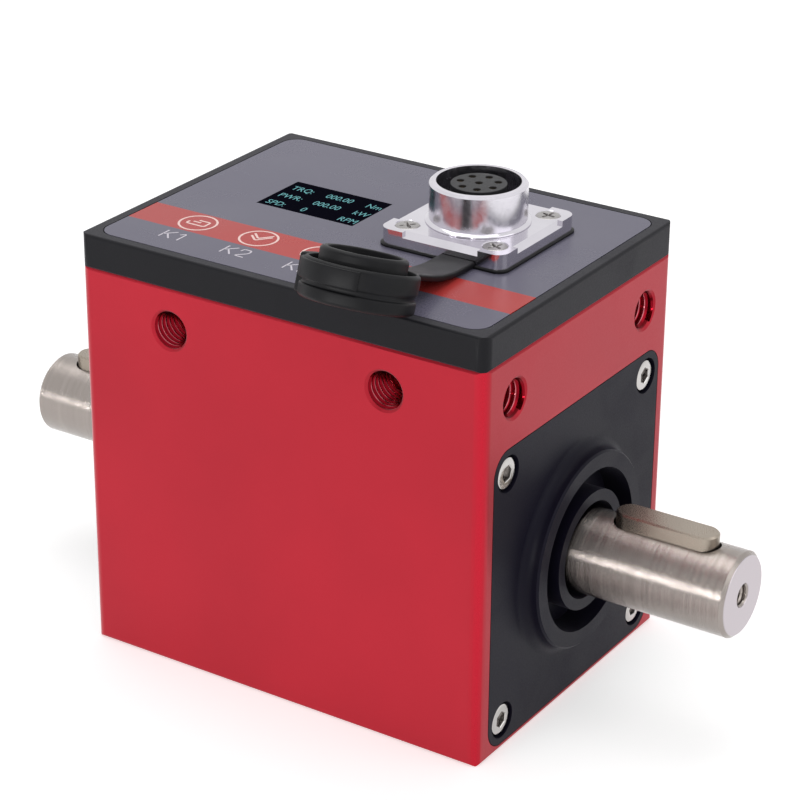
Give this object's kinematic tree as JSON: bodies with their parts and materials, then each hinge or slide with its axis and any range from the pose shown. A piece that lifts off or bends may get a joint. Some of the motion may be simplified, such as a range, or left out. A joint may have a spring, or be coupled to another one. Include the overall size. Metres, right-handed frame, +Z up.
{
  "type": "rotary torque sensor",
  "caption": "Square-bodied rotary torque sensor: keyed through shaft on ball bearings, black end covers, lid with display, touch keys and a round flanged connector with a tethered dust cap.",
  "frame": {"origin": "middle of the housing's base, on the mounting surface", "axes": "+X along the shaft towards the connector end, -Y the front face, +Z up"},
  "size_m": [0.1724, 0.0918, 0.1094],
  "materials": {
    "red_anodised": "satin red anodised",
    "lid_black": "matt black anodised",
    "cover_black": "satin black anodised",
    "overlay_film": "fine matt film with a red band",
    "display_black": "glossy black",
    "board_green": "circuit board",
    "chip_black": "moulded",
    "plunger_white": "moulded",
    "screw_steel": "bright",
    "connector_chrome": "polished",
    "insert_grey": "moulded",
    "contact_gold": "plated",
    "cap_rubber": "matt",
    "shaft_steel": "turned and ground",
    "key_steel": "ground",
    "bearing_steel": "polished",
    "cage_brass": "satin",
    "former_plastic": "moulded",
    "coil_copper": "enamelled wire",
    "disc_steel": "blackened",
    "gauge_film": "film"
  },
  "bodies": {
    "body": {"housing": "red_anodised", "lid": "lid_black", "lid_screws": "screw_steel", "overlay": "overlay_film", "display_panel": "display_black", "main_board": "board_green", "board_chips": "chip_black", "board_screws": "screw_steel", "key_board": "board_green", "key_switches": "chip_black", "connector_shell": "connector_chrome", "connector_insert": "insert_grey", "connector_contacts": "contact_gold", "connector_screws": "screw_steel", "dust_cap": "cap_rubber", "end_cover_right": "cover_black", "end_cover_left": "cover_black", "cover_screws_right": "screw_steel", "cover_screws_left": "screw_steel", "bearing_outer_right": "bearing_steel", "bearing_outer_left": "bearing_steel", "stator_former": "former_plastic", "stator_coil": "coil_copper", "speed_pickup": "chip_black"},
    "rotor": {"shaft": "shaft_steel", "shaft_key_right": "key_steel", "shaft_key_left": "key_steel", "bearing_inner_right": "bearing_steel", "bearing_inner_left": "bearing_steel", "rotor_former": "former_plastic", "rotor_coil": "coil_copper", "speed_disc": "disc_steel", "strain_gauges": "gauge_film"},
    "balls_right": {"bearing_cage_right": "cage_brass", "bearing_balls_right": "bearing_steel"},
    "balls_left": {"bearing_cage_left": "cage_brass", "bearing_balls_left": "bearing_steel"},
    "key_1": {"key_plunger_1": "plunger_white"},
    "key_2": {"key_plunger_2": "plunger_white"},
    "key_3": {"key_plunger_3": "plunger_white"}
  },
  "joints": [
    {"name": "shaft_spin", "type": "hinge", "parent": "body", "child": "rotor", "pos_m": [0, 0, 0.0342], "axis": [1, 0, 0], "continuous": true},
    {"name": "balls_right_spin", "type": "hinge", "parent": "body", "child": "balls_right", "pos_m": [0.03625, 0, 0.0342], "axis": [1, 0, 0], "continuous": true},
    {"name": "balls_left_spin", "type": "hinge", "parent": "body", "child": "balls_left", "pos_m": [-0.03625, 0, 0.0342], "axis": [1, 0, 0], "continuous": true},
    {"name": "key_1_press", "type": "slide", "parent": "body", "child": "key_1", "axis": [0, 0, -1], "range_m": [0, 0.00025], "stiffness_N_per_m": 800},
    {"name": "key_2_press", "type": "slide", "parent": "body", "child": "key_2", "axis": [0, 0, -1], "range_m": [0, 0.00025], "stiffness_N_per_m": 800},
    {"name": "key_3_press", "type": "slide", "parent": "body", "child": "key_3", "axis": [0, 0, -1], "range_m": [0, 0.00025], "stiffness_N_per_m": 800}
  ],
  "couplings": [
    {"joint": "balls_right_spin", "follows": "shaft_spin", "ratio": 0.3968},
    {"joint": "balls_left_spin", "follows": "shaft_spin", "ratio": 0.3968}
  ]
}
